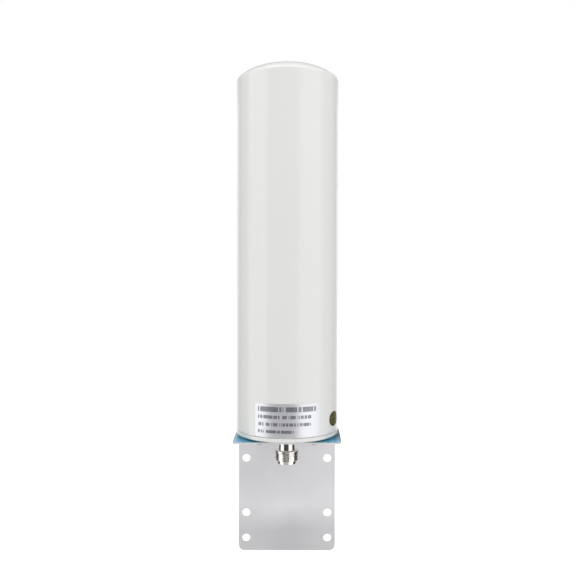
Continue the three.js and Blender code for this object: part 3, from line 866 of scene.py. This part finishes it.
def connector_body():
    """The plated jack: nose, helical thread, neck, hexagon and the shank through the bracket."""
    hex_top = GASKET_LOW.z
    hex_bottom = hex_top - HEX_THICKNESS
    hex_radius = HEX_ACROSS_FLATS / 2
    thread_steps = 96
    crest = THREAD_RADIUS
    profile = rounded([
        (SOCKET_RADIUS, JACK_LOW.z, 0.35 * MM),
        (NOSE_RADIUS, JACK_LOW.z, 0.35 * MM),
        (NOSE_RADIUS, THREAD_BOTTOM, 0.15 * MM),
        (crest - THREAD_LEAD_IN, THREAD_BOTTOM),
    ], closed=True)[:-1]
    for i in range(thread_steps + 1):
        height = THREAD_BOTTOM + (THREAD_TOP - THREAD_BOTTOM) * i / thread_steps
        chamfer = max(0.0, THREAD_LEAD_IN - (height - THREAD_BOTTOM))
        profile.append((crest - chamfer, height))
    profile += rounded([
        (crest, THREAD_TOP),
        (crest, NECK_BOTTOM, 0.25 * MM),
        (NECK_RADIUS, NECK_BOTTOM, 0.3 * MM),
        (NECK_RADIUS, hex_bottom, 0.3 * MM),
        (hex_radius, hex_bottom, 0.3 * MM),
        (hex_radius, hex_top, 0.3 * MM),
        (SHANK_RADIUS, hex_top),
        (SHANK_RADIUS, JACK_HIGH.z, 0.4 * MM),
        (BORE_RADIUS, JACK_HIGH.z),
        (BORE_RADIUS, NECK_BOTTOM),
        (SOCKET_RADIUS, NECK_BOTTOM),
    ], closed=False)[1:]

    def reach(radius, height, angle):
        if THREAD_BOTTOM <= height <= THREAD_TOP and radius > NECK_RADIUS + 0.5 * MM:
            return radius - thread_drop(height, angle)
        on_hexagon = hex_bottom - 0.01 * MM <= height <= hex_top + 0.01 * MM
        if on_hexagon and radius > SHANK_RADIUS + 1 * MM:
            share = (radius - SHANK_RADIUS) / (hex_radius - SHANK_RADIUS)
            return radius + share * (hex_reach(angle, HEX_ACROSS_FLATS) - hex_radius)
        return radius

    return revolve("connector_body_fine", profile, divisions=144, radius_at=reach)


def pan_screw(name, x, y):
    """A pan-head screw from below, with a cross recess in its head."""
    low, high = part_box(name)
    seat = FLANGE_TOP - SHEET
    head = (high.x - low.x) / 2
    shank = SCREW_SHANK_RADIUS
    rounding = SCREW_HEAD_ROUNDING
    profile = [
        (0, low.z),
        *arc((head - rounding, low.z + rounding), rounding, -90, 0, 6),
        (head, seat),
        (shank, seat),
        (shank, high.z - SCREW_TIP),
        (shank - SCREW_TIP, high.z),
        (0, high.z),
    ]
    screw = revolve(name + "_fine", profile, closed=False, divisions=64, centre=(x, y))
    cutters = []
    for reach_x, reach_y in (CROSS_ARM, CROSS_ARM[::-1]):
        corners = ((-1, -1), (1, -1), (1, 1), (-1, 1))
        outline = [(x + reach_x * side_x, y + reach_y * side_y) for side_x, side_y in corners]
        cutters.append(prism("slot", outline, lambda u, v, s: (u, v, low.z + CROSS_DEPTH * (1 if s else -1))))
    return combine(screw, cutters, "DIFFERENCE")


# ---- Pieces ---------------------------------------------------------------------------------

for part in frame["record"]["subparts"]:
    for material_slot in frame["nodes"][part["node"]].material_slots:
        material_slot.material = LOOKS[part["material_slot"]]

present(radome_shell(), LOOKS["white_plastic"], "white_plastic", "radome_shell")
present(base_cap(), LOOKS["white_plastic"], "white_plastic", "base_cap")
present(name_label(), LOOKS["silver_foil"], "silver_foil", "name_label")
present(inspection_sticker(), LOOKS["gold_foil"], "gold_foil", "inspection_sticker")
present(mounting_bracket(), LOOKS["bracket_aluminium"], "bracket_aluminium", "mounting_bracket")
present(protective_film(), LOOKS["blue_film"], "blue_film", "protective_film")
present(connector_body(), LOOKS["nickel_plate"], "nickel_plate", "connector_body")
for number, (screw_x, screw_y) in enumerate(screw_places(), 1):
    node_name = f"bracket_screw_{number}"
    present(pan_screw(node_name, screw_x, screw_y), LOOKS["steel"], "steel", node_name)


# ---- Stage ----------------------------------------------------------------------------------

def studio_floor():
    """A plain white floor well below the part. It is seen, but throws no light on the part."""
    corners = ((-1, -1), (1, -1), (1, 1), (-1, 1))
    vertices = [(x * FLOOR_REACH, y * FLOOR_REACH, FLOOR_HEIGHT) for x, y in corners]
    floor = mesh_object("floor", vertices, [[0, 1, 2, 3]])
    look = Look("floor", (0.9, 0.9, 0.9), 0.9)
    look.shader.inputs["Emission Color"].default_value = (1, 1, 1, 1)
    look.shader.inputs["Emission Strength"].default_value = 1.0
    floor.data.materials.append(look.material)
    floor.visible_diffuse = False
    floor.visible_glossy = False
    floor.visible_transmission = False
    floor.visible_shadow = False


def softbox(name, azimuth, elevation, width, height, radiance):
    """A rectangular softbox that faces the tube. Azimuth 0 is in front and 90 to the right."""
    light = bpy.data.lights.new(name, "AREA")
    light.shape = "RECTANGLE"
    light.size = width
    light.size_y = height
    light.energy = math.pi * width * height * radiance
    lamp = bpy.data.objects.new(name, light)
    bpy.context.scene.collection.objects.link(lamp)
    target = Vector((AXIS_X, AXIS_Y, (SHELL_LOW.z + SHELL_HIGH.z) / 2))
    turn, rise = math.radians(azimuth), math.radians(elevation)
    out = Vector((math.sin(turn) * math.cos(rise), -math.cos(turn) * math.cos(rise), math.sin(rise)))
    lamp.location = target + out * SOFTBOX_DISTANCE
    lamp.rotation_mode = "QUATERNION"
    lamp.rotation_quaternion = out.to_track_quat("Z", "Y")
    lamp.visible_camera = False


def studio_world():
    """White where the camera looks. For lighting: a dim band in front at eye level, a lit ceiling and
    floor, and a white wall behind the part."""
    world = bpy.data.worlds.new("studio")
    bpy.context.scene.world = world
    world.use_nodes = True
    tree = world.node_tree
    tree.nodes.clear()

    def node(kind, inputs, **settings):
        made = tree.nodes.new(kind)
        for key, value in settings.items():
            setattr(made, key, value)
        for key, value in inputs.items():
            if isinstance(value, bpy.types.NodeSocket):
                tree.links.new(value, made.inputs[key])
            else:
                made.inputs[key].default_value = value
        return made

    def zone(value, low, high, strength):
        inputs = {"Value": value, "From Min": low, "From Max": high, "To Max": strength}
        return node("ShaderNodeMapRange", inputs).outputs[0]

    def math_node(operation, first, second):
        return node("ShaderNodeMath", {0: first, 1: second}, operation=operation).outputs[0]

    place = node("ShaderNodeTexCoord", {}).outputs["Generated"]
    parts = node("ShaderNodeSeparateXYZ", {0: place})
    back, up = parts.outputs["Y"], parts.outputs["Z"]
    front = zone(back, 0.05, -0.05, 1)
    wall = math_node("MULTIPLY", zone(back, 0.74, 0.86, WALL_LIGHT), zone(up, 0.35, 0.25, 1))
    ceiling = math_node("MULTIPLY", zone(up, 0.45, 0.55, CEILING_LIGHT), front)
    ceiling = math_node("MULTIPLY", ceiling, zone(up, 0.92, 0.82, 1))
    rear = math_node("MULTIPLY", zone(up, 0.25, 0.35, REAR_LIGHT), math_node("SUBTRACT", 1, front))
    ground = math_node("MULTIPLY", zone(up, -0.38, -0.46, GROUND_LIGHT), front)
    total = math_node("ADD", ROOM_LIGHT, wall)
    for part in (ceiling, rear, ground):
        total = math_node("ADD", total, part)
    room = node("ShaderNodeBackground", {"Color": (1, 1, 1, 1), "Strength": total})
    seen = node("ShaderNodeBackground", {"Color": (1, 1, 1, 1)})
    camera_ray = node("ShaderNodeLightPath", {}).outputs["Is Camera Ray"]
    mix = node("ShaderNodeMixShader", {0: camera_ray, 1: room.outputs[0], 2: seen.outputs[0]})
    node("ShaderNodeOutputWorld", {"Surface": mix.outputs[0]})


def studio_camera():
    data = bpy.data.cameras.new("camera")
    data.lens = CAMERA_LENS
    data.sensor_width = CAMERA_SENSOR
    data.clip_start = 0.01
    data.clip_end = 200
    camera = bpy.data.objects.new("camera", data)
    bpy.context.scene.collection.objects.link(camera)
    height = FLANGE_TOP + RIM_BOTTOM + CAMERA_ABOVE_RIM
    camera.location = (AXIS_X + CAMERA_SIDE, AXIS_Y - CAMERA_DISTANCE, height)
    camera.rotation_euler = (math.radians(90), CAMERA_ROLL, 0)
    bpy.context.scene.camera = camera


studio_floor()
studio_world()
for settings in SOFTBOXES:
    softbox(*settings)
studio_camera()
bpy.context.scene.view_settings.view_transform = "Standard"
